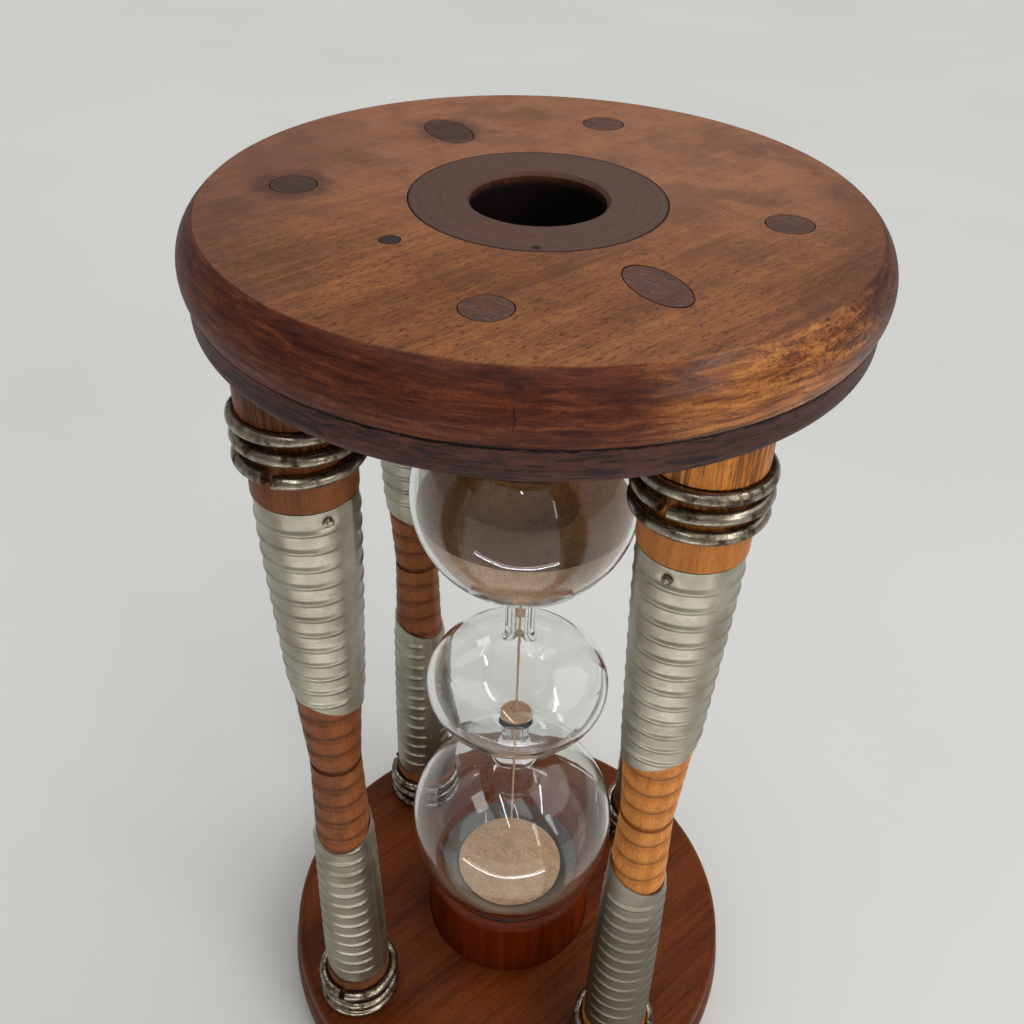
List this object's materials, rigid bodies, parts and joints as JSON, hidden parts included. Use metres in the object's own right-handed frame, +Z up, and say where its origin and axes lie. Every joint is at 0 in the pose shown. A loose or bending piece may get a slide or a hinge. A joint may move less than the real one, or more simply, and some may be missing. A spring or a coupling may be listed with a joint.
{
  "type": "hourglass",
  "caption": "Upright hourglass: two round wooden spool heads joined by turned bobbin posts with ribbed tin sleeves and steel rings, around a bulbed glass vial of sand.",
  "frame": {"origin": "centre of the face it stands on", "axes": "+Z up through the hubs and the glass; +X to the right and +Y away, seen from the front"},
  "size_m": [0.15, 0.15, 0.278],
  "materials": {
    "head_wood": "worn satin varnish",
    "backing_wood": "worn satin varnish",
    "hub_wood": "satin varnish",
    "peg_wood": "satin varnish",
    "dowel_wood": "bare",
    "quill_wood": "satin varnish",
    "ring_steel": "tarnished",
    "tin": "satin, lightly tarnished",
    "glass": "clear polished",
    "sand": "matt grains",
    "felt": "matt"
  },
  "bodies": {
    "stand": {"upper_head_board": "head_wood", "upper_head_backing": "backing_wood", "upper_hub": "hub_wood", "upper_head_pegs": "peg_wood", "upper_hub_pegs": "peg_wood", "upper_seat_felt": "felt", "upper_end_dowels": "dowel_wood", "lower_head_board": "head_wood", "lower_head_backing": "backing_wood", "lower_hub": "hub_wood", "lower_head_pegs": "peg_wood", "lower_hub_pegs": "peg_wood", "lower_seat_felt": "felt", "lower_end_dowels": "dowel_wood", "upper_head_plug": "peg_wood", "front_left_upper_quill": "quill_wood", "front_left_upper_sleeve": "tin", "front_left_upper_rings": "ring_steel", "front_left_lower_quill": "quill_wood", "front_left_lower_sleeve": "tin", "front_left_lower_rings": "ring_steel", "front_right_upper_quill": "quill_wood", "front_right_upper_sleeve": "tin", "front_right_upper_rings": "ring_steel", "front_right_lower_quill": "quill_wood", "front_right_lower_sleeve": "tin", "front_right_lower_rings": "ring_steel", "back_left_upper_quill": "quill_wood", "back_left_upper_sleeve": "tin", "back_left_upper_rings": "ring_steel", "back_left_lower_quill": "quill_wood", "back_left_lower_sleeve": "tin", "back_left_lower_rings": "ring_steel", "back_right_upper_quill": "quill_wood", "back_right_upper_sleeve": "tin", "back_right_upper_rings": "ring_steel", "back_right_lower_quill": "quill_wood", "back_right_lower_sleeve": "tin", "back_right_lower_rings": "ring_steel", "sleeve_tacks": "ring_steel", "joint_dowels": "dowel_wood"},
    "vial": {"glass_vial": "glass", "sand_top": "sand", "sand_middle": "sand", "sand_stream": "sand", "sand_bottom": "sand"}
  },
  "joints": [
    {"name": "vial_turn", "type": "hinge", "parent": "stand", "child": "vial", "pos_m": [0, 0, 0.139], "axis": [0, 0, 1], "continuous": true}
  ]
}
